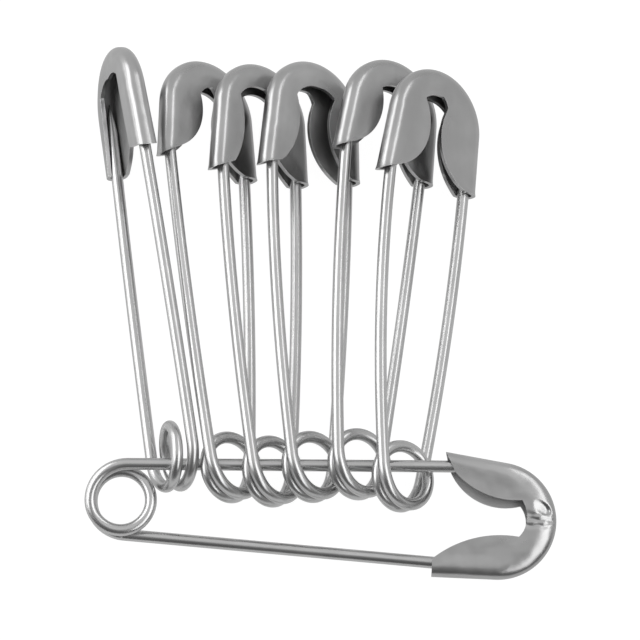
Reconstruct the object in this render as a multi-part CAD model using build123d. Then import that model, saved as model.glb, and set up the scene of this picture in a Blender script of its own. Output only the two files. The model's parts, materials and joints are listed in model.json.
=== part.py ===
"""Six safety pins strung by their coils on the back arm of a seventh, the carrier pin.

Every pin is one bent wire and one folded sheet head. The wire is cut into its back arm, its
coil and its point arm where they meet face to face, so that the point arm can flex.
A pin is drawn in its own plane: the coil's axis is the origin, +X runs to the head, +Y is the
side of the back arm, and +Z is the face that shows on the carrier.
"""
from math import cos, pi, radians, sin, tan
import os

from build123d import *

os.makedirs("parts", exist_ok=True)

# Wire sizes of one pin, in millimetres
pin_length = 51.0
wire_diameter = 1.2
coil_bore = 5.3
turn_gap = 0.46
turns = 1.5
back_shoulder = 0.65
point_shoulder = 0.35
shoulder_rise = 0.37
arm_bow = 0.32
point_setback = 8.3
point_rise = -0.1
turned_point_rise = 0.3
point_length = 3.7
point_belly_share = 0.68
tip_radius = 0.08
back_arm_in_head = 5.0

# Head sizes of one pin
sheet = 0.45
head_length = 13.25
clasp_lead = 1.05
bend_radius = 6.35
bend_shift = 0.45
back_taper_deg = 8.0
pocket_play = 0.15
wall_play = 0.28
edge_round = 1.05
pocket_round = 0.5
pinch_radius = 1.3
dimple_radius = 1.1
dimple_depth = 0.6
pinch_setback = 1.9
overrun = 1.0

# The carrier's lie: its plane tips down towards the front
carrier_tip_deg = 11.3

# Worked out from the sizes above
wire_radius = wire_diameter / 2
coil_radius = (coil_bore + wire_diameter) / 2
coil_pitch = wire_diameter + turn_gap
shoulder_height = coil_pitch / 2 + shoulder_rise
coil_thickness = 2 * shoulder_height + wire_diameter
head_end = pin_length - coil_radius - wire_radius
bend_centre_x = head_end - bend_radius
clasp_mouth_x = head_end - head_length
back_mouth_x = clasp_mouth_x + clasp_lead
clear_x = clasp_mouth_x - overrun
half_width = bend_radius + bend_shift
clear_y = half_width + overrun
pocket_height = wire_diameter + 2 * pocket_play
head_thickness = pocket_height + 2 * sheet
arm_inset = sheet + wall_play + wire_radius
bore_play = coil_bore / 2 - wire_radius

# Wing edges as shares: back from the head's end by its length, out from its middle by its width
back_tip_share = (0.842, 0.68)
near_back_belly_share = (0.577, 0.375)
near_back_corner_share = (0.287, 0.27)
bridge_share = (0.245, -0.10)
near_clasp_corner_share = (0.303, -0.315)
near_clasp_belly_share = (0.62, -0.345)
near_clasp_tip_share = (1.0, -0.72)
far_back_tip_share = (0.88, 0.71)
far_back_belly_share = (0.63, 0.23)
far_back_corner_share = (0.295, 0.19)
far_clasp_turn_deg = -68.0

# Strung pins from left to right: step along the carrier's arm in coil thicknesses, where the
# arm crosses the bore in shares of its play, and the heading, rise and lean of the pin
strung = (
    {"step_share": 1.403, "cross_share": (-0.509, 0.262), "turn_deg": (-8.7, 4.3, 107.7)},
    {"step_share": 1.61, "cross_share": (0.068, 0.207), "turn_deg": (-5.2, 1.9, 40.5)},
    {"step_share": 1.272, "cross_share": (0.279, 0.151), "turn_deg": (-3.1, 1.9, 40.5)},
    {"step_share": 1.294, "cross_share": (0.034, -0.027), "turn_deg": (-1.0, 1.1, 37.6)},
    {"step_share": 1.394, "cross_share": (-0.121, -0.034), "turn_deg": (4.2, 1.2, 36.1)},
    {"step_share": 1.319, "cross_share": (0.524, -0.015), "turn_deg": (4.6, 2.0, 39.0)},
)
turned_head_pin = "pin_4"


def biarc(start, start_dir, end, end_dir):
    """Two arcs in space that leave start along start_dir and reach end along end_dir."""
    chord = end - start
    both = start_dir + end_dir
    a = 2 * (1 - start_dir.dot(end_dir))
    b = 2 * chord.dot(both)
    c = -chord.dot(chord)
    reach = -c / b if abs(a) < 1e-9 else (-b + (b * b - 4 * a * c) ** 0.5) / (2 * a)
    joint = (start + start_dir * reach + end - end_dir * reach) / 2
    first = Edge.make_tangent_arc(start, start_dir, joint)
    return [first, Edge.make_tangent_arc(joint, first % 1, end)]


def tube(edges):
    """The wire's round section carried along the edges."""
    path = Wire(edges)
    section = Plane(origin=path @ 0, z_dir=path % 0) * Circle(wire_radius)
    return sweep(section, path=path)


def arm_tube(run):
    """An arm's run as wire, a plain cylinder where it is straight."""
    if run.geom_type != GeomType.LINE:
        return tube([run])
    section = Plane(origin=run @ 0, z_dir=run % 0) * Circle(wire_radius)
    return extrude(section, amount=run.length, dir=run % 0)


def arm_edge(start, end, bow):
    """An arm's run from its coil, straight or bowed outwards by bow at its middle."""
    if bow == 0:
        return Edge.make_line(start, end)
    middle = (start + end) / 2 + Vector(0, bow, 0)
    return Edge.make_three_point_arc(start, middle, end)


def inner_line(inset):
    """Where the bend meets the tapered back side, at a distance inside the outline."""
    radius = bend_radius - inset
    angle = radians(90 - back_taper_deg)
    return bend_centre_x + radius * cos(angle), radius * sin(angle) - bend_shift


def back_side_y(x, inset):
    """Height of the head's back side at x, at a distance inside the outline."""
    meet_x, meet_y = inner_line(inset)
    return meet_y + (meet_x - x) * tan(radians(back_taper_deg))


def clasp_side_y(inset):
    """Height of the head's straight clasp side, at a distance inside the outline."""
    return -bend_shift - (bend_radius - inset)


def back_run(bow):
    """The back arm's run from the coil to inside the head's mouth."""
    start = Vector(back_shoulder, coil_radius + back_shoulder, shoulder_height)
    mouth_x = back_mouth_x + arm_inset
    end = Vector(mouth_x, back_side_y(mouth_x, arm_inset), 0)
    return arm_edge(start, end, bow)


def point_run(bow, rise):
    """The point arm's run from the coil to where its ground point starts."""
    start = Vector(point_shoulder, -coil_radius - point_shoulder, -shoulder_height)
    end = Vector(head_end - point_setback, clasp_side_y(arm_inset), rise)
    return arm_edge(start, end, -bow)


def back_arm(bow):
    """The fixed arm: its run and the end that the head is folded round."""
    run = back_run(bow)
    mouth = run @ 1
    end_x = mouth.X + back_arm_in_head
    end = Vector(end_x, back_side_y(end_x, arm_inset), 0)
    taper = radians(back_taper_deg)
    held = biarc(mouth, run % 1, end, Vector(cos(taper), -sin(taper), 0))
    return arm_tube(run) + tube(held)


def point_arm(bow, rise):
    """The sprung arm: its run and its ground point."""
    run = point_run(bow, rise)
    with BuildSketch(Plane.XZ) as profile:
        with BuildLine():
            Line((0, 0), (wire_radius, 0))
            belly = tip_radius + (wire_radius - tip_radius) * point_belly_share
            ThreePointArc((wire_radius, 0), (belly, point_length / 2), (tip_radius, point_length))
            Line((tip_radius, point_length), (0, point_length))
            Line((0, point_length), (0, 0))
        make_face()
    point = revolve(profile.sketch, Axis.Z)
    return arm_tube(run) + Plane(origin=run @ 1, z_dir=run % 1).location * point


def coil_edges(bow, rise):
    """Biarcs from the back arm round one and a half turns to the point arm."""
    back = back_run(bow)
    point = point_run(bow, rise)
    quarters = 4 * round(turns - 1 / 2)
    spots = [(back @ 0, (back % 0) * -1)]
    for quarter in range(quarters + 1):
        angle = pi + quarter * pi / 2
        height = coil_pitch * (quarters / 2 - quarter) / 4
        spot = Vector(coil_radius * cos(angle), coil_radius * sin(angle), height)
        turn_dir = Vector(-sin(angle), cos(angle), -coil_pitch / (2 * pi * coil_radius))
        spots.append((spot, turn_dir.normalized()))
    spots.append((point @ 0, point % 0))
    edges = []
    for (start, start_dir), (end, end_dir) in zip(spots, spots[1:]):
        edges += biarc(start, start_dir, end, end_dir)
    return edges


def least_gap(edges, steps=24):
    """Smallest gap between stretches of the coil's tube that are half a turn or more apart."""
    points = [edge @ (n / steps) for edge in edges for n in range(steps)]
    apart = round(len(points) / turns / 2)
    spans = [(a - b).length for i, a in enumerate(points) for b in points[i + apart:]]
    return min(spans) - wire_diameter


def outline(inset):
    """The head's flat outline, at a distance inside its edge."""
    radius = bend_radius - inset
    meet_x, meet_y = inner_line(inset)
    clasp_y = clasp_side_y(inset)
    with BuildSketch() as shape:
        with BuildLine():
            Line((clasp_mouth_x, clasp_y), (bend_centre_x, clasp_y))
            sweep_deg = 180 - back_taper_deg
            CenterArc((bend_centre_x, -bend_shift), radius, -90, sweep_deg)
            Line((meet_x, meet_y), (back_mouth_x, back_side_y(back_mouth_x, inset)))
            Line((back_mouth_x, back_side_y(back_mouth_x, inset)), (clasp_mouth_x, clasp_y))
        make_face()
    return shape.sketch


def slab(inset, height, rounding):
    """The outline as a plate, its long outer edges rounded to make the folded spine."""
    plate = extrude(outline(inset), amount=height / 2, both=True)
    mouth_x = back_mouth_x + overrun / 2
    rims = plate.edges().filter_by(Plane.XY).filter_by(lambda e: e.bounding_box().max.X > mouth_x)
    return fillet(rims, rounding)


def spot(share):
    """A point of a wing's edge from its shares."""
    return head_end - share[0] * head_length, share[1] * half_width


def opening(clasp_edges, corner_share, belly_share, tip_share, height):
    """What a cheek leaves open: along the clasp edges, then along its back wing to the mouth."""
    back_corner = (back_mouth_x, back_side_y(back_mouth_x, 0))
    edges = Curve() + [
        *clasp_edges,
        Line(clasp_edges[-1] @ 1, spot(bridge_share)),
        Line(spot(bridge_share), spot(corner_share)),
        ThreePointArc(spot(corner_share), spot(belly_share), spot(tip_share)),
        Polyline(spot(tip_share), back_corner, (back_mouth_x, clear_y), (clear_x, clear_y)),
        Line((clear_x, clear_y), clasp_edges[0] @ 0),
    ]
    return extrude(make_face(edges), amount=height)


def near_opening():
    """The near cheek's opening, between two curved wings."""
    tip = spot(near_clasp_tip_share)
    clasp_edges = [
        Line((clear_x, tip[1]), tip),
        ThreePointArc(tip, spot(near_clasp_belly_share), spot(near_clasp_corner_share)),
    ]
    back_shares = (near_back_corner_share, near_back_belly_share, back_tip_share)
    return opening(clasp_edges, *back_shares, head_thickness)


def far_opening():
    """The far cheek's opening: its clasp half is cut back to the spine, to free the arm."""
    turn = CenterArc((bend_centre_x, -bend_shift), bend_radius - sheet, -90, far_clasp_turn_deg + 90)
    clasp_edges = [
        Line((clear_x, clasp_side_y(sheet)), (bend_centre_x, clasp_side_y(sheet))),
        turn,
        Line(turn @ 1, spot(near_clasp_corner_share)),
    ]
    back_shares = (far_back_corner_share, far_back_belly_share, far_back_tip_share)
    return opening(clasp_edges, *back_shares, -head_thickness)


def head():
    """The folded head: a rounded spine, two winged cheeks and the pinch that holds them shut."""
    pinch_x = head_end - pinch_setback
    pinch = Pos(pinch_x, 0, 0) * Cylinder(pinch_radius, head_thickness)
    pocket = slab(sheet, pocket_height, pocket_round)
    mouth_width = 2 * (half_width - 2 * sheet)
    pocket += Pos(clasp_mouth_x, 0, 0) * Box(overrun, mouth_width, pocket_height)
    body = slab(0, head_thickness, edge_round) - (pocket - pinch)
    body = body - near_opening() - far_opening()
    ball_radius = (dimple_radius**2 + dimple_depth**2) / (2 * dimple_depth)
    ball_height = head_thickness / 2 - dimple_depth + ball_radius
    for side in (1, -1):
        body -= Pos(pinch_x, 0, side * ball_height) * Sphere(ball_radius)
    return body


def turn_axes(heading_deg, rise_deg, lean_deg):
    """Length, back-arm and face directions of a pin that lies away from the viewer."""
    heading = radians(heading_deg)
    rise = radians(rise_deg)
    lean = radians(lean_deg)
    along = Vector(sin(heading) * cos(rise), cos(heading) * cos(rise), sin(rise))
    left = Vector(-cos(heading), sin(heading), 0)
    side = left * cos(lean) + along.cross(left) * sin(lean)
    return along, side, along.cross(side)


def carrier_plane():
    """The carrier's plane: its back arm runs along world X and its plane tips to the front."""
    run = back_run(0)
    arm_dir = run % 0
    face = (Vector(0, 0, 1) - arm_dir * arm_dir.Z).normalized()
    side = face.cross(arm_dir)
    tip = radians(carrier_tip_deg)
    world_side = Vector(0, cos(tip), sin(tip))
    world_face = Vector(0, -sin(tip), cos(tip))

    def to_world(v):
        return Vector(1, 0, 0) * v.dot(arm_dir) + world_side * v.dot(side) + world_face * v.dot(face)

    origin = to_world(run @ 0) * -1
    return Plane(origin=origin, x_dir=to_world(Vector(1, 0, 0)), z_dir=to_world(Vector(0, 0, 1)))


def strung_plane(index):
    """A strung pin's plane: the carrier's arm passes through its bore at the stated place."""
    along_arm = coil_thickness * sum(row["step_share"] for row in strung[: index + 1])
    row = strung[index]
    along, side, face = turn_axes(*row["turn_deg"])
    cross_x, cross_y = row["cross_share"]
    centre = Vector(along_arm, 0, 0) - (along * cross_x + side * cross_y) * bore_play
    return Plane(origin=centre, x_dir=along, z_dir=face)


def pin_pieces(bow, turned_head):
    """The four solids of one pin in its own plane."""
    cap = head()
    rise = turned_point_rise if turned_head else point_rise
    edges = coil_edges(bow, rise)
    print("least gap of this coil to itself", round(least_gap(edges), 3), "mm")
    return {
        "back_arm": back_arm(bow),
        "coil": tube(edges),
        "point_arm": point_arm(bow, rise),
        "head": mirror(cap, about=Plane.XY) if turned_head else cap,
    }


def placed_pins():
    """Every pin's plane and solids, by the pin's name."""
    pins = {"carrier": (carrier_plane(), pin_pieces(0, False))}
    for index in range(len(strung)):
        name = f"pin_{index + 1}"
        pieces = pin_pieces(arm_bow, name == turned_head_pin)
        pins[name] = (strung_plane(index), pieces)
    return pins


def main():
    pins = placed_pins()
    solids = {}
    for pin_name, (plane, pieces) in pins.items():
        for piece_name, solid in pieces.items():
            solids[f"{pin_name}_{piece_name}"] = plane.location * solid
    box = Compound(list(solids.values())).bounding_box()
    shift = Vector(-(box.min.X + box.max.X) / 2, -(box.min.Y + box.max.Y) / 2, -box.min.Z)
    for name, solid in solids.items():
        placed = Pos(shift) * solid
        placed.label = name
        export_step(placed, f"parts/{name}.step")
    print("hinge line of the strung pins through", shift, "along X")
    point_start = point_run(0, point_rise) @ 0
    for pin_name, (plane, _) in pins.items():
        print(pin_name, "coil centre", plane.origin + shift)
        print("point arm starts at", plane.from_local_coords(point_start) + shift)
        print("its length runs along", plane.x_dir, "and its face looks along", plane.z_dir)
    print("the point arm runs along", point_run(0, point_rise) % 0, "in its pin's plane")


main()
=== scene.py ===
"""Looks of the strung safety pins: whole bent wires, folded heads, nickel plate and studio light."""

import json
from math import acos, cos, pi, radians, sin, tan

import bmesh
import bpy
import numpy as np
from mathutils import Matrix, Vector


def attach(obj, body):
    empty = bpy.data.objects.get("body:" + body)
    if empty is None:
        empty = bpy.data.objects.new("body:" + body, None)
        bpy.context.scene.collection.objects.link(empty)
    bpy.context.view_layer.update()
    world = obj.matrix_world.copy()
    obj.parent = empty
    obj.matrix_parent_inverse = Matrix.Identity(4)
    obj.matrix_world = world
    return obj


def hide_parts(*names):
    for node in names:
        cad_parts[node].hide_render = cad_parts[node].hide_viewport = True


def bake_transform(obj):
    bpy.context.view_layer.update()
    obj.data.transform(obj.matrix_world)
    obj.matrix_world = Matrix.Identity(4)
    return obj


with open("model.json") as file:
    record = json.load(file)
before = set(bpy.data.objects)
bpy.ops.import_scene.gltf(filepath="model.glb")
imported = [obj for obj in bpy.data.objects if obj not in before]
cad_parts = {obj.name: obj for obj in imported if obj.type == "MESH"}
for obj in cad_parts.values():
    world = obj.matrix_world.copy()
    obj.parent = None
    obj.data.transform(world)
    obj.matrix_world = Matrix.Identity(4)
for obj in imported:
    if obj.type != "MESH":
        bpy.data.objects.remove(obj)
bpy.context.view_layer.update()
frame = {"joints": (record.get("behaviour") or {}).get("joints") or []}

MM = 0.001

# Wire sizes of one pin: the wire is drawn a little thicker than the solids, as the photograph shows it
pin_length = 51.0 * MM
wire_radius = 0.6 * MM
drawn_radius = 0.65 * MM
dome_radius = 0.63 * MM
coil_bore = 5.3 * MM
coil_pitch = 1.66 * MM
back_shoulder = 0.65 * MM
point_shoulder = 0.35 * MM
shoulder_rise = 0.37 * MM
point_setback = 8.3 * MM
carrier_point_rise = -0.1 * MM
strung_point_rise = 0.08 * MM
point_length = 3.7 * MM
point_belly_share = 0.68
tip_radius = 0.08 * MM
back_arm_in_head = 5.0 * MM
coil_quarters = 4

# How far each pin's back arm and point arm bow outwards at their middle
arm_bows = {
    "carrier": (0, 0),
    "pin_1": (0.32 * MM, 0.32 * MM),
    "pin_2": (0.32 * MM, 0.47 * MM),
    "pin_3": (0.55 * MM, 0.50 * MM),
    "pin_4": (0.65 * MM, 0.40 * MM),
    "pin_5": (0.55 * MM, 0.25 * MM),
    "pin_6": (0.95 * MM, 0.70 * MM),
}

# Head sizes of one pin: a crease has its height on the cheek and its depth
sheet = 0.45 * MM
head_length = 13.25 * MM
clasp_lead = 1.05 * MM
bend_radius = 6.35 * MM
bend_shift = 0.45 * MM
back_taper = radians(8)
wall_play = 0.28 * MM
roll_depth = 1.2 * MM
bend_roll_extra = 0.9 * MM
roll_height = 1.05 * MM
head_half_thickness = 1.2 * MM
cheek_dip = 0.04 * MM
dip_width = 1.5 * MM
cut_edge_round = 0.17 * MM
pinch_setback = 1.8 * MM
pinch_lift = 1.15 * MM
pinch_turn = radians(-32)
pinch_reach = (1.15 * MM, 0.58 * MM)
pinch_slope = 0.27
pinch_lead = 0.8 * MM
creases = ((0.38 * MM, 0.07 * MM), (-0.2 * MM, 0.13 * MM), (-0.85 * MM, 0.11 * MM))
crease_width = 0.23 * MM
crease_sway = 0.08 * MM
crease_sway_length = 1.5 * MM
crease_reach = 1.6 * MM
bend_blend_share = 0.6
cut_edge_angle = radians(50)
cut_edge_segments = 2

# How finely wires and heads are drawn
wire_sides = 28
arm_steps = 48
arc_steps = 7
tip_steps = 12
dome_turns = [radians(turn) for turn in (88, 70, 52, 34, 16)]
bend_rows = 64
pinched_bend_rows = 150
clasp_rows = 25
back_rows = 23
row_crowding = 1.5
wing_steps = 40
wall_steps = 20
wall_turn_steps = 12
skin_steps = 28

# Wing edges as shares: back from the head's end by its length, out from its middle by its width
bridge_share = (0.245, -0.10)
far_clasp_turn = radians(-68)
carrier_wings = {
    "back_tip": (0.842, 0.68),
    "back_belly": (0.577, 0.335),
    "back_corner": (0.287, 0.27),
    "clasp_corner": (0.303, -0.315),
    "clasp_belly": (0.62, -0.345),
    "clasp_tip": (1.0, -0.72),
    "far_tip": (0.88, 0.71),
    "far_belly": (0.63, 0.23),
    "far_corner": (0.295, 0.19),
}
strung_wings = dict(
    carrier_wings,
    clasp_corner=(0.34, -0.2),
    clasp_belly=(0.6, -0.1),
    clasp_tip=(1.0, -0.68),
    far_clasp_corner=(0.31, -0.43),
    far_clasp_belly=(0.57, -0.3),
    far_clasp_tip=(1.0, -0.74),
)
long_wings = dict(strung_wings, back_tip=(0.95, 0.64), far_tip=(0.98, 0.68))
cut_away_wings = dict(
    long_wings,
    far_corner=(0.29, 0.36),
    far_belly=(0.6, 0.42),
    far_tip=(0.97, 0.52),
    far_clasp_corner=(0.33, -0.62),
    far_clasp_belly=(0.62, -0.67),
    far_clasp_tip=(1.0, -0.76),
)

# How each head is folded: how far its back mouth reaches past the carrier's, and its wings
folds = {
    "carrier": (0, carrier_wings),
    "pin_1": (1.5 * MM, cut_away_wings),
    "pin_2": (0, dict(strung_wings, back_belly=(0.577, 0.18), back_corner=(0.33, 0.16))),
    "pin_3": (1.5 * MM, dict(long_wings, back_belly=(0.6, 0.41), back_corner=(0.34, 0.47))),
    "pin_4": (1.5 * MM, dict(long_wings, far_belly=(0.6, 0.32), far_corner=(0.36, 0.37))),
    "pin_5": (0, dict(strung_wings, back_belly=(0.5, 0.21), back_corner=(0.3, 0.25))),
    "pin_6": (1.5 * MM, dict(long_wings, back_belly=(0.58, 0.15), back_corner=(0.31, 0.29))),
}
strung_pinch_share = 0.15
mouth_flare = 0.05 * MM
flare_reach = 0.7 * MM
unflared_heads = ("carrier", "pin_1")

# Material numbers of a head: its outer skin, its inner skin and its cut edges, whose plate paints a
# highlight along the rims
outside_number, inside_number, highlight_edge_number = 0, 1, 2

# How the pins lie: the carrier's plane tips to the front, and each strung pin has its heading
carrier_tip = radians(11.3)
strung_headings = [radians(turn) for turn in (-8.7, -5.2, -3.1, -1.0, 4.2, 4.6)]
turned_head_pin = "pin_4"

# Plates: grey tones, roughness, streaks along and across, their fineness, and bumps
plates = {
    "wire_plate": {
        "tones": (0.54, 0.70), "rough": (0.20, 0.34), "streak": (4, 6, 1), "fineness": 0.5,
        "ripple_height": 0.02 * MM, "wave_height": 0,
    },
    "head_plate": {
        "tones": (0.44, 0.60), "rough": (0.22, 0.36), "streak": (2, 8, 1), "fineness": 3,
        "ripple_height": 0.02 * MM, "wave_height": 0.4 * MM,
    },
    # The inner skin's plate is a little darker and rougher than the outer skin's
    "head_inside": {
        "tones": (0.40, 0.56), "rough": (0.45, 0.60), "streak": (2, 8, 1), "fineness": 3,
        "ripple_height": 0.02 * MM, "wave_height": 0.3 * MM,
    },
    # The cut edges' plate is much lighter and smoother than the cheeks': a painted highlight along the
    # rims
    "head_edge_painted_highlight": {
        "tones": (0.80, 0.92), "rough": (0.20, 0.30), "streak": (2, 8, 1), "fineness": 3,
        "ripple_height": 0.02 * MM, "wave_height": 0,
    },
}
bump_strength = 0.35
cloud_scale = 260
cloud_detail = 2
tone_range = (-0.3, 1.6)

# Floor: its paper, and the glow by which the camera and the metal see it as pale
floor_half = 1.5
floor_grey = 0.86
floor_roughness = 0.9
floor_glows = {
    "Is Camera Ray": {"share": 0.88, "strength": 1.1},
    "Is Glossy Ray": {"share": 0.8, "strength": 0.68},
}

# Room greys from towards the viewer to away, their shares from left to right, and the soft boxes,
# which lean in degrees from straight up to the right and reach from near to far
room_greys = ((-0.7, 0.14), (-0.35, 0.3), (-0.05, 0.84), (0.35, 0.88), (0.9, 0.75))
side_shares = ((-0.95, 1.0), (-0.3, 0.85), (0.1, 0.95), (0.5, 0.78), (0.9, 0.72))
soft_boxes = {
    "left_box": {"lean": -52, "far": 0.45, "width": 0.28, "reach": (-0.2, 0.5), "brightness": 1.75},
    "right_box": {"lean": 38, "far": 0.50, "width": 0.13, "reach": (0, 0.5), "brightness": 1.7},
    "front_box": {"lean": 38, "far": 0.50, "width": 0.30, "reach": (-0.6, 0), "brightness": 1.8},
    "low_box": {"lean": -86, "far": 0.60, "width": 0.10, "reach": (-0.2, 0.5), "brightness": 1.4},
}

# Camera of the photograph: high in front of the pins, a long lens, rolled a little
camera_eye = Vector((-5.14, -124.32, 353.46)) * MM
camera_aim = Vector((-0.09, 0.51, 0)) * MM
camera_roll = radians(2.7)
camera_lens = 189.5
camera_sensor = 36
camera_clip = (0.01, 10)

# Worked out from the sizes above
coil_radius = coil_bore / 2 + wire_radius
shoulder_height = coil_pitch / 2 + shoulder_rise
head_end = pin_length - coil_radius - wire_radius
bend_x = head_end - bend_radius
clasp_mouth_x = head_end - head_length
back_mouth_x = clasp_mouth_x + clasp_lead
half_width = bend_radius + bend_shift
arm_inset = sheet + wall_play + wire_radius
arm_mouth_x = back_mouth_x + arm_inset
spine_flat = head_half_thickness - roll_height


def back_side_y(x, inset):
    """Height of the head's tapered back side at x, at a distance inside the outline."""
    radius = bend_radius - inset
    meet_x = bend_x + radius * sin(back_taper)
    return radius * cos(back_taper) - bend_shift + (meet_x - x) * tan(back_taper)


def clasp_side_y(inset):
    """Height of the head's straight clasp side, at a distance inside the outline."""
    return inset - bend_shift - bend_radius


def arc_points(start, start_dir, end, count):
    """Points after start on the arc that leaves it along start_dir and reaches end."""
    chord = end - start
    unit = chord.normalized()
    lean = acos(max(-1, min(1, unit.dot(start_dir))))
    if lean < radians(0.05):
        return [start + chord * (n / count) for n in range(1, count + 1)]
    aside = (unit - start_dir * cos(lean)) / sin(lean)
    radius = chord.length / (2 * sin(lean))
    turns = [2 * lean * n / count for n in range(1, count + 1)]
    return [start + (start_dir * sin(t) + aside * (1 - cos(t))) * radius for t in turns]


def biarc_points(start, start_dir, end, end_dir):
    """Points after start on two arcs that leave it along start_dir and reach end along end_dir."""
    chord = end - start
    a = 2 * (1 - start_dir.dot(end_dir))
    b = 2 * chord.dot(start_dir + end_dir)
    c = -chord.dot(chord)
    reach = -c / b if abs(a) < 1e-9 else (-b + (b * b - 4 * a * c) ** 0.5) / (2 * a)
    joint = (start + start_dir * reach + end - end_dir * reach) / 2
    first = arc_points(start, start_dir, joint, arc_steps)
    joint_dir = (joint - (end - end_dir * reach)).normalized() * -1
    return first + arc_points(joint, joint_dir, end, arc_steps)


def arm_points(start, end, bow):
    """Points of an arm, bowed along local Y, and its directions at both ends."""
    rise = Vector((0, bow, 0))
    shares = [n / arm_steps for n in range(arm_steps + 1)]
    points = [start.lerp(end, f) + rise * (4 * f * (1 - f)) for f in shares]
    return points, (end - start + rise * 4).normalized(), (end - start - rise * 4).normalized()


def back_arm_ends():
    """The ends of the back arm's free stretch, at its shoulder and at the head's mouth."""
    start = Vector((back_shoulder, coil_radius + back_shoulder, shoulder_height))
    return start, Vector((arm_mouth_x, back_side_y(arm_mouth_x, arm_inset), 0))


def wire_run(bows, rise):
    """The wire's centre line in three stretches: back arm, coil and point arm."""
    back_start, mouth = back_arm_ends()
    back, back_dir, mouth_dir = arm_points(back_start, mouth, bows[0])
    held_x = arm_mouth_x + back_arm_in_head
    held = Vector((held_x, back_side_y(held_x, arm_inset), 0))
    held_dir = Vector((cos(back_taper), -sin(back_taper), 0))
    back += biarc_points(mouth, mouth_dir, held, held_dir)
    point_start = Vector((point_shoulder, -coil_radius - point_shoulder, -shoulder_height))
    grind = Vector((head_end - point_setback, clasp_side_y(arm_inset), rise))
    point, point_dir, grind_dir = arm_points(point_start, grind, -bows[1])
    spots = [(back_start, back_dir * -1)]
    for quarter in range(coil_quarters + 1):
        angle = pi + quarter * pi / 2
        height = coil_pitch * (0.5 - quarter / coil_quarters)
        spot = Vector((coil_radius * cos(angle), coil_radius * sin(angle), height))
        slope = -coil_pitch / (2 * pi * coil_radius)
        spots.append((spot, Vector((-sin(angle), cos(angle), slope)).normalized()))
    spots.append((point_start, point_dir))
    coil = [back_start]
    for (start, start_dir), (end, end_dir) in zip(spots, spots[1:]):
        coil += biarc_points(start, start_dir, end, end_dir)
    tip = [grind + grind_dir * (point_length * n / tip_steps) for n in range(1, tip_steps + 1)]
    return back[::-1], coil, point + tip


def point_radii(points):
    """The wire's radius at each point of the point arm: full, then ground to the tip."""
    belly = tip_radius + (drawn_radius - tip_radius) * point_belly_share
    tip = points[-1]
    radii = []
    for spot in points:
        f = max(0, 1 - (tip - spot).length / point_length)
        full, end = (1 - f) * (1 - 2 * f), f * (2 * f - 1)
        radii.append(drawn_radius * full + belly * 4 * f * (1 - f) + tip_radius * end)
    return radii


def finish_mesh(name, mesh_parts, place, material_list):
    """A smooth object from points, faces, texture coordinates and material numbers."""
    points, faces, coords, numbers = mesh_parts
    mesh = bpy.data.meshes.new(name)
    mesh.from_pydata([place @ spot for spot in points], [], faces)
    layer = mesh.uv_layers.new(name="along")
    for face, number in zip(mesh.polygons, numbers):
        face.use_smooth = True
        face.material_index = number
        for loop in face.loop_indices:
            layer.data[loop].uv = coords[mesh.loops[loop].vertex_index]
    for material in material_list:
        mesh.materials.append(material)
    piece = bpy.data.objects.new(name, mesh)
    bpy.context.scene.collection.objects.link(piece)
    shape = bmesh.new()
    shape.from_mesh(mesh)
    bmesh.ops.recalc_face_normals(shape, faces=shape.faces)
    shape.to_mesh(mesh)
    shape.free()
    return piece


def tube(points, radii):
    """A round tube through the points, with closed ends."""
    count = len(points)
    steps = [points[n + 1] - points[n] for n in range(count - 1)]
    dirs = [steps[0].normalized()]
    dirs += [(a.normalized() + b.normalized()).normalized() for a, b in zip(steps, steps[1:])]
    dirs.append(steps[-1].normalized())
    side = dirs[0].orthogonal().normalized()
    spots, coords = [], []
    reach = 0
    for n, (centre, radius, heading) in enumerate(zip(points, radii, dirs)):
        if n:
            side = (dirs[n - 1].rotation_difference(heading) @ side).normalized()
            reach += steps[n - 1].length
        other = heading.cross(side)
        for k in range(wire_sides):
            turn = 2 * pi * k / wire_sides
            spots.append(centre + (side * cos(turn) + other * sin(turn)) * radius)
            coords.append((reach / pin_length, abs(2 * k / wire_sides - 1)))
    faces = []
    for n in range(count - 1):
        for k in range(wire_sides):
            after = (k + 1) % wire_sides
            low, high = n * wire_sides, (n + 1) * wire_sides
            faces.append((low + k, low + after, high + after, high + k))
    faces.append(tuple(range(wire_sides))[::-1])
    faces.append(tuple((count - 1) * wire_sides + k for k in range(wire_sides)))
    return spots, faces, coords, [0] * len(faces)


def domed_start(points, radii):
    """An arm's points and radii with a round end before its root, which turns inside the coil's end."""
    way = (points[1] - points[0]).normalized()
    dome = [points[0] - way * (dome_radius * sin(turn)) for turn in dome_turns]
    return dome + points, [dome_radius * cos(turn) for turn in dome_turns] + radii


def spot_of(share):
    """A point of a wing's edge from its shares."""
    return np.array((head_end - share[0] * head_length, share[1] * half_width))


def round_stretch(start, middle, end):
    """Points on the circle through three points."""
    a, b = middle - start, end - start
    twice = 2 * (a[0] * b[1] - a[1] * b[0])
    aa, bb = a @ a, b @ b
    centre = start + np.array((b[1] * aa - a[1] * bb, a[0] * bb - b[0] * aa)) / twice
    first = np.arctan2(*(start - centre)[::-1])
    last = np.arctan2(*(end - centre)[::-1])
    turn = (last - first + pi) % (2 * pi) - pi
    turns = first + turn * np.linspace(0, 1, wing_steps)
    return centre + np.linalg.norm(start - centre) * np.stack((np.cos(turns), np.sin(turns)), 1)


def back_wing_edge(corner, belly, tip):
    """The back wing's edge, from the bridge to its tip."""
    wing = round_stretch(spot_of(corner), spot_of(belly), spot_of(tip))
    return np.vstack((spot_of(bridge_share), wing))


def clasp_wing_edge(tip, belly, corner):
    """The clasp wing's edge, from its tip to the bridge."""
    return round_stretch(spot_of(tip), spot_of(belly), spot_of(corner))


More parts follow.
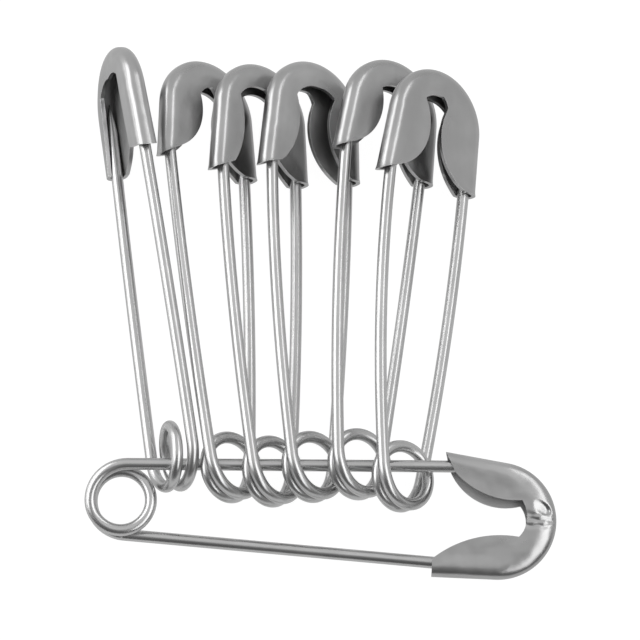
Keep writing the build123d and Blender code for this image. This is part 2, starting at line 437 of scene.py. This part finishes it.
def near_edge(wings):
    """The near cheek's free edge, from the clasp mouth to the back mouth."""
    clasp = clasp_wing_edge(wings["clasp_tip"], wings["clasp_belly"], wings["clasp_corner"])
    back = back_wing_edge(wings["back_corner"], wings["back_belly"], wings["back_tip"])
    return np.vstack((clasp, back))


def far_edge(wings):
    """The far cheek's free edge: without a clasp wing it is cut back to the spine, to free the arm."""
    back = back_wing_edge(wings["far_corner"], wings["far_belly"], wings["far_tip"])
    if "far_clasp_tip" in wings:
        shares = [wings[name] for name in ("far_clasp_tip", "far_clasp_belly", "far_clasp_corner")]
        return np.vstack((clasp_wing_edge(*shares), back))
    wall_x = np.linspace(clasp_mouth_x, bend_x, wall_steps)
    wall = np.stack((wall_x, np.full(wall_steps, clasp_side_y(sheet))), 1)
    turns = np.linspace(-pi / 2, far_clasp_turn, wall_turn_steps)
    radius = bend_radius - sheet
    bend = np.stack((bend_x + radius * np.cos(turns), radius * np.sin(turns) - bend_shift), 1)
    return np.vstack((wall, bend[1:], spot_of(wings["clasp_corner"]), back))


def head_rows(edge, reach, turns):
    """Rows across one cheek: a point of the outline, the way inward and how far the cheek reaches."""
    centre = np.array((bend_x, -bend_shift))
    offsets = edge - centre
    angles = np.unwrap(np.arctan2(offsets[:, 1], offsets[:, 0]))
    radii = np.linalg.norm(offsets, axis=1)
    rows = []
    before = edge[angles <= -pi / 2 + 1e-9]
    for f in np.linspace(0, 1, clasp_rows + 1)[:-1] ** row_crowding:
        x = clasp_mouth_x + (bend_x - clasp_mouth_x) * f
        inner = np.array((x, np.interp(x, before[:, 0], before[:, 1])))
        rows.append((np.array((x, clasp_side_y(0))), inner))
    last = pi / 2 - back_taper
    for turn in np.linspace(-pi / 2, last, turns):
        way = np.array((cos(turn), sin(turn)))
        rows.append((centre + way * bend_radius, centre + way * np.interp(turn, angles, radii)))
    meet, meet_edge = rows[-1]
    mouth_x = back_mouth_x - reach
    corner = np.array((mouth_x, back_side_y(mouth_x, 0)))
    rest = np.vstack((meet_edge, edge[angles > last]))
    lengths = np.concatenate(([0], np.cumsum(np.linalg.norm(np.diff(rest, axis=0), axis=1))))
    for f in 1 - np.linspace(1, 0, back_rows + 1)[1:] ** row_crowding:
        inner = np.array([np.interp(f * lengths[-1], lengths, rest[:, axis]) for axis in (0, 1)])
        rows.append((meet + (corner - meet) * f, inner))
    return rows


def section_reach(depth, roll):
    """Length of the outer skin from the spine's middle to a depth inside the outline."""
    if depth < roll:
        return spine_flat + roll * acos(1 - depth / roll)
    return spine_flat + roll * pi / 2 + depth - roll


def skin_point(reach, inside, roll):
    """Depth and height of the sheet at a length from the spine's middle, on either skin."""
    if reach < spine_flat:
        return inside, reach
    turn = (reach - spine_flat) / roll
    if turn < pi / 2:
        inward = roll - (roll - inside) * cos(turn)
        return inward, spine_flat + (roll_height - inside) * sin(turn)
    depth = roll + reach - spine_flat - roll * pi / 2
    f = min(1, (depth - roll) / dip_width)
    return depth, head_half_thickness - inside - cheek_dip * f * f * (3 - 2 * f)


def pressed(spot):
    """How far a cheek is pressed in at a point, by the pinch and its creases."""
    pinch = np.array((head_end - pinch_setback, pinch_lift))
    away = spot - pinch
    along = away[0] * cos(pinch_turn) + away[1] * sin(pinch_turn)
    across = away[1] * cos(pinch_turn) - away[0] * sin(pinch_turn)
    share = (along / pinch_reach[0]) ** 2 + (across / pinch_reach[1]) ** 2
    depth = pinch_slope * max(0, away[0] + pinch_lead) * np.exp(-share ** 3)
    fade = np.exp(-(away[0] / crease_reach) ** 4)
    for lift, crease_depth in creases:
        sway = crease_sway * sin(2 * pi * away[0] / crease_sway_length + lift / crease_width)
        depth += crease_depth * fade * np.exp(-((spot[1] - lift - sway) / crease_width) ** 2)
    return depth


def bend_share(spot):
    """0 along the head's straight sides, rising to 1 round its bend."""
    f = max(0, min(1, (spot[0] - bend_x) / (bend_radius * bend_blend_share)))
    return f * f * (3 - 2 * f)


def skin_row(outer, inner, side, inside, shares, pinch_share, flare):
    """Points of one skin across one cheek, from the spine to the free edge."""
    depth = np.linalg.norm(inner - outer)
    way = (inner - outer) / depth
    roll = roll_depth + bend_roll_extra * pinch_share * bend_share(outer)
    points = []
    for reach in shares * section_reach(depth, roll):
        inward, height = skin_point(reach, inside, roll)
        spot = outer + way * (min(inward, max(depth, inside)) - flare)
        rise = min(1, height / (head_half_thickness - sheet))
        height += rise * (flare - pressed(spot) * pinch_share)
        points.append(Vector((spot[0], spot[1], side * max(height, 0))))
    return points


def folded_head(reach, wings, mouth_size, pinch_share, turns):
    """The folded sheet: a closed section carried from the clasp mouth round to the back mouth."""
    shares = np.linspace(0, 1, skin_steps)
    spots, coords = [], []
    rows = list(zip(*(head_rows(edge(wings), reach, turns) for edge in (near_edge, far_edge))))
    for n, (near, far) in enumerate(rows):
        ends = [np.linalg.norm(near[0] - rows[end][0][0]) for end in (0, -1)]
        flare = mouth_size * max(0, 1 - min(ends) / flare_reach) ** 2
        section = []
        for inside, order in ((0, 1), (sheet, -1)):
            near_skin = skin_row(*near, 1, inside, shares, pinch_share, flare)
            far_skin = skin_row(*far, -1, inside, shares, pinch_share, flare)
            section += (near_skin[::-1] + far_skin[1:])[::order]
        spots += section
        coords += [(n / len(rows), k / len(section)) for k in range(len(section))]
    width = len(spots) // len(rows)
    half = width // 2
    faces, numbers = [], []
    for n in range(len(rows) - 1):
        for k in range(width):
            after = (k + 1) % width
            low, high = n * width, (n + 1) * width
            faces.append((low + k, low + after, high + after, high + k))
            numbers.append(inside_number if half <= k < width - 1 else outside_number)
    for start in (0, (len(rows) - 1) * width):
        for k in range(half - 1):
            back = width - 1 - k
            faces.append((start + k, start + k + 1, start + back - 1, start + back))
            numbers.append(outside_number)
    return spots, faces, coords, numbers


def soften(piece):
    """Round the sheet's cut edges, give them the plate with the painted highlight, and keep the skins
    smooth.
    """
    bevel = piece.modifiers.new("cut_edges", "BEVEL")
    bevel.width = cut_edge_round
    bevel.segments = cut_edge_segments
    bevel.limit_method = "ANGLE"
    bevel.angle_limit = cut_edge_angle
    bevel.harden_normals = True
    # The rounded cut edges take the lighter plate, a painted highlight
    bevel.material = highlight_edge_number


def joint_of(name):
    """A joint's row in the frame."""
    return next(joint for joint in frame["joints"] if joint["name"] == name)


def place_from(centre, along, face):
    """The matrix that puts a pin's own plane into the frame."""
    side = face.cross(along)
    turn = Matrix((along, side, face)).transposed()
    return Matrix.Translation(centre) @ turn.to_4x4()


def carrier_place():
    """The carrier's arm runs along X through the hinge line of the strung pins."""
    start, mouth = back_arm_ends()
    arm = (mouth - start).normalized()
    face = (Vector((0, 0, 1)) - arm * arm.z).normalized()
    side = face.cross(arm)
    local = Matrix((arm, side, face))
    tipped = Matrix.Rotation(carrier_tip, 3, "X")
    turn = tipped @ local
    shift = Vector(joint_of("pin_1_swing")["pos_m"])
    return Matrix.Translation(shift - turn @ start) @ turn.to_4x4()


def strung_place(number):
    """A strung pin's coil centre and face come from its squeeze joint, its way from its heading."""
    joint = joint_of(f"pin_{number}_squeeze")
    face = Vector(joint["axis"]).normalized()
    heading = strung_headings[number - 1]
    along = Vector((sin(heading), cos(heading), 0))
    along.z = -(along.x * face.x + along.y * face.y) / face.z
    return place_from(Vector(joint["pos_m"]), along.normalized(), face)


def mixed_grey(nodes, links, factor, dark, light):
    """A grey that runs from dark to light with a factor."""
    mix = nodes.new("ShaderNodeMix")
    mix.data_type = "RGBA"
    mix.inputs[6].default_value = (dark, dark, dark, 1)
    mix.inputs[7].default_value = (light, light, light, 1)
    links.new(factor, mix.inputs[0])
    return mix.outputs[2]


def spread(nodes, links, value, low, high):
    """A value from 0 to 1 mapped to a range."""
    scale = nodes.new("ShaderNodeMapRange")
    scale.inputs["To Min"].default_value = low
    scale.inputs["To Max"].default_value = high
    links.new(value, scale.inputs["Value"])
    return scale.outputs["Result"]


def noise(nodes, links, coords, stretch, scale, detail):
    """Noise on stretched coordinates."""
    mapping = nodes.new("ShaderNodeMapping")
    mapping.inputs["Scale"].default_value = stretch
    links.new(coords, mapping.inputs["Vector"])
    texture = nodes.new("ShaderNodeTexNoise")
    texture.inputs["Scale"].default_value = scale
    texture.inputs["Detail"].default_value = detail
    links.new(mapping.outputs["Vector"], texture.inputs["Vector"])
    return texture.outputs["Fac"]


def bumped(nodes, links, height, distance, under=None):
    """A bumped normal, over another one if it is given."""
    bump = nodes.new("ShaderNodeBump")
    bump.inputs["Strength"].default_value = bump_strength
    bump.inputs["Distance"].default_value = distance
    links.new(height, bump.inputs["Height"])
    if under:
        links.new(under, bump.inputs["Normal"])
    return bump.outputs["Normal"]


def plated(name, tones, rough, streak, fineness, ripple_height, wave_height):
    """Nickel plate: a cloudy tone, drawn or pressed streaks, a faint ripple and slow waves."""
    material = bpy.data.materials.new(name)
    material.use_nodes = True
    nodes, links = material.node_tree.nodes, material.node_tree.links
    shader = nodes["Principled BSDF"]
    shader.inputs["Metallic"].default_value = 1
    along = nodes.new("ShaderNodeUVMap")
    along.uv_map = "along"
    place = nodes.new("ShaderNodeTexCoord")
    cloud = noise(nodes, links, place.outputs["Object"], (1, 1, 1), cloud_scale, cloud_detail)
    lines = noise(nodes, links, along.outputs["UV"], streak, 1, fineness)
    both = nodes.new("ShaderNodeMath")
    both.operation = "MULTIPLY"
    links.new(cloud, both.inputs[0])
    links.new(lines, both.inputs[1])
    tone = spread(nodes, links, both.outputs["Value"], *tone_range)
    links.new(mixed_grey(nodes, links, tone, *tones), shader.inputs["Base Color"])
    links.new(spread(nodes, links, lines, *rough), shader.inputs["Roughness"])
    waves = bumped(nodes, links, cloud, wave_height)
    links.new(bumped(nodes, links, lines, ripple_height, waves), shader.inputs["Normal"])
    return material


def add_head(pin_name, place):
    """A pin's folded head."""
    pinch = (1, pinched_bend_rows) if pin_name == "carrier" else (strung_pinch_share, bend_rows)
    flare = 0 if pin_name in unflared_heads else mouth_flare
    shape = folded_head(*folds[pin_name], flare, *pinch)
    # The third material paints a highlight on the cut edges
    piece = finish_mesh(f"{pin_name}_folded_head", shape, place, [head_plate, head_inside, head_edge_painted_highlight])
    soften(piece)
    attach(piece, pin_name)
    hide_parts(f"{pin_name}_head")


def strung_pin(number):
    """A strung pin's whole wire, in one piece round its coil, and its head."""
    name = f"pin_{number}"
    place = strung_place(number)
    back, coil, point = wire_run(arm_bows[name], strung_point_rise)
    points = back + coil[1:] + point[1:]
    radii = [drawn_radius] * (len(back) + len(coil) - 1) + point_radii(point)[1:]
    wire = finish_mesh(f"{name}_wire", tube(points, radii), place, [wire_plate])
    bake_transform(wire)
    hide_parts(f"{name}_back_arm", f"{name}_coil", f"{name}_point_arm")
    flip = Matrix.Diagonal((1, 1, -1, 1)) if name == turned_head_pin else Matrix.Identity(4)
    add_head(name, place @ flip)


def carrier_pin():
    """The carrier's wire in two pieces, because its point arm turns right round, and its head."""
    place = carrier_place()
    back, coil, point = wire_run(arm_bows["carrier"], carrier_point_rise)
    fixed = back + coil[1:]
    fixed_shape = tube(fixed, [drawn_radius] * len(fixed))
    fixed_wire = finish_mesh("carrier_wire", fixed_shape, place, [wire_plate])
    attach(fixed_wire, "carrier")
    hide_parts("carrier_back_arm", "carrier_coil")
    moving = domed_start(point, point_radii(point))
    moving_wire = finish_mesh("carrier_point_wire", tube(*moving), place, [wire_plate])
    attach(moving_wire, "carrier_point_arm")
    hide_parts("carrier_point_arm")
    add_head("carrier", place)


def soft_box(name, lean, far, width, reach, brightness):
    """A long soft box over the pins, leaned in degrees from straight up to +X and run along Y."""
    turn = radians(lean)
    length = reach[1] - reach[0]
    data = bpy.data.lights.new(name, "AREA")
    data.shape = "RECTANGLE"
    data.size, data.size_y = width, length
    data.energy = brightness * pi * width * length
    lamp = bpy.data.objects.new(name, data)
    lamp.location = (far * sin(turn), sum(reach) / 2, far * cos(turn))
    lamp.rotation_euler = (0, turn, 0)
    bpy.context.scene.collection.objects.link(lamp)


def white_floor():
    """A pale floor that the camera sees as white and the metal as light grey, with the shadow kept."""
    mesh = bpy.data.meshes.new("floor")
    corners = [(x * floor_half, y * floor_half, 0) for x, y in ((-1, -1), (1, -1), (1, 1), (-1, 1))]
    mesh.from_pydata(corners, [], [(0, 1, 2, 3)])
    floor = bpy.data.objects.new("floor", mesh)
    bpy.context.scene.collection.objects.link(floor)
    material = bpy.data.materials.new("floor_paper")
    material.use_nodes = True
    nodes, links = material.node_tree.nodes, material.node_tree.links
    shader = nodes["Principled BSDF"]
    shader.inputs["Base Color"].default_value = (floor_grey, floor_grey, floor_grey, 1)
    shader.inputs["Roughness"].default_value = floor_roughness
    rays = nodes.new("ShaderNodeLightPath")
    surface = shader.outputs["BSDF"]
    for kind, row in floor_glows.items():
        glow = nodes.new("ShaderNodeEmission")
        glow.inputs["Strength"].default_value = row["strength"]
        amount = nodes.new("ShaderNodeMath")
        amount.operation = "MULTIPLY"
        amount.inputs[1].default_value = row["share"]
        links.new(rays.outputs[kind], amount.inputs[0])
        mix = nodes.new("ShaderNodeMixShader")
        links.new(amount.outputs["Value"], mix.inputs["Fac"])
        links.new(surface, mix.inputs[1])
        links.new(glow.outputs["Emission"], mix.inputs[2])
        surface = mix.outputs["Shader"]
    links.new(surface, nodes["Material Output"].inputs["Surface"])
    mesh.materials.append(material)


def grey_ramp(nodes, links, way, greys):
    """Greys along a direction's part, which runs from -1 to 1."""
    share = spread(nodes, links, way, 0, 1)
    share.node.inputs["From Min"].default_value = -1
    ramp = nodes.new("ShaderNodeValToRGB")
    stops = ramp.color_ramp.elements
    while len(stops) < len(greys):
        stops.new(0.5)
    for stop, (place, grey) in zip(stops, greys):
        stop.position = place / 2 + 0.5
        stop.color = (grey, grey, grey, 1)
    links.new(share, ramp.inputs["Fac"])
    return ramp.outputs["Color"]


def studio():
    """A grey room, darker towards the viewer, with four long soft boxes."""
    world = bpy.data.worlds.new("room")
    bpy.context.scene.world = world
    world.use_nodes = True
    nodes, links = world.node_tree.nodes, world.node_tree.links
    place = nodes.new("ShaderNodeTexCoord")
    parts = nodes.new("ShaderNodeSeparateXYZ")
    links.new(place.outputs["Generated"], parts.inputs["Vector"])
    away = grey_ramp(nodes, links, parts.outputs["Y"], room_greys)
    across = grey_ramp(nodes, links, parts.outputs["X"], side_shares)
    both = nodes.new("ShaderNodeMix")
    both.data_type = "RGBA"
    both.blend_type = "MULTIPLY"
    both.inputs[0].default_value = 1
    links.new(away, both.inputs[6])
    links.new(across, both.inputs[7])
    links.new(both.outputs[2], nodes["Background"].inputs["Color"])
    for name, row in soft_boxes.items():
        soft_box(name, **row)


def photo_camera():
    """The camera, turned to its aim and rolled."""
    data = bpy.data.cameras.new("camera")
    data.lens = camera_lens
    data.sensor_width = camera_sensor
    data.clip_start, data.clip_end = camera_clip
    camera = bpy.data.objects.new("camera", data)
    camera.location = camera_eye
    look = (camera_aim - camera_eye).to_track_quat("-Z", "Y").to_matrix()
    camera.rotation_euler = (look @ Matrix.Rotation(camera_roll, 3, "Z")).to_euler()
    bpy.context.scene.collection.objects.link(camera)
    bpy.context.scene.camera = camera


# The last plate paints a highlight on the heads' cut edges
wire_plate, head_plate, head_inside, head_edge_painted_highlight = [plated(name, **row) for name, row in plates.items()]
carrier_pin()
for pin_number in range(1, 7):
    strung_pin(pin_number)
white_floor()
studio()
photo_camera()
bpy.context.scene.view_settings.view_transform = "Standard"
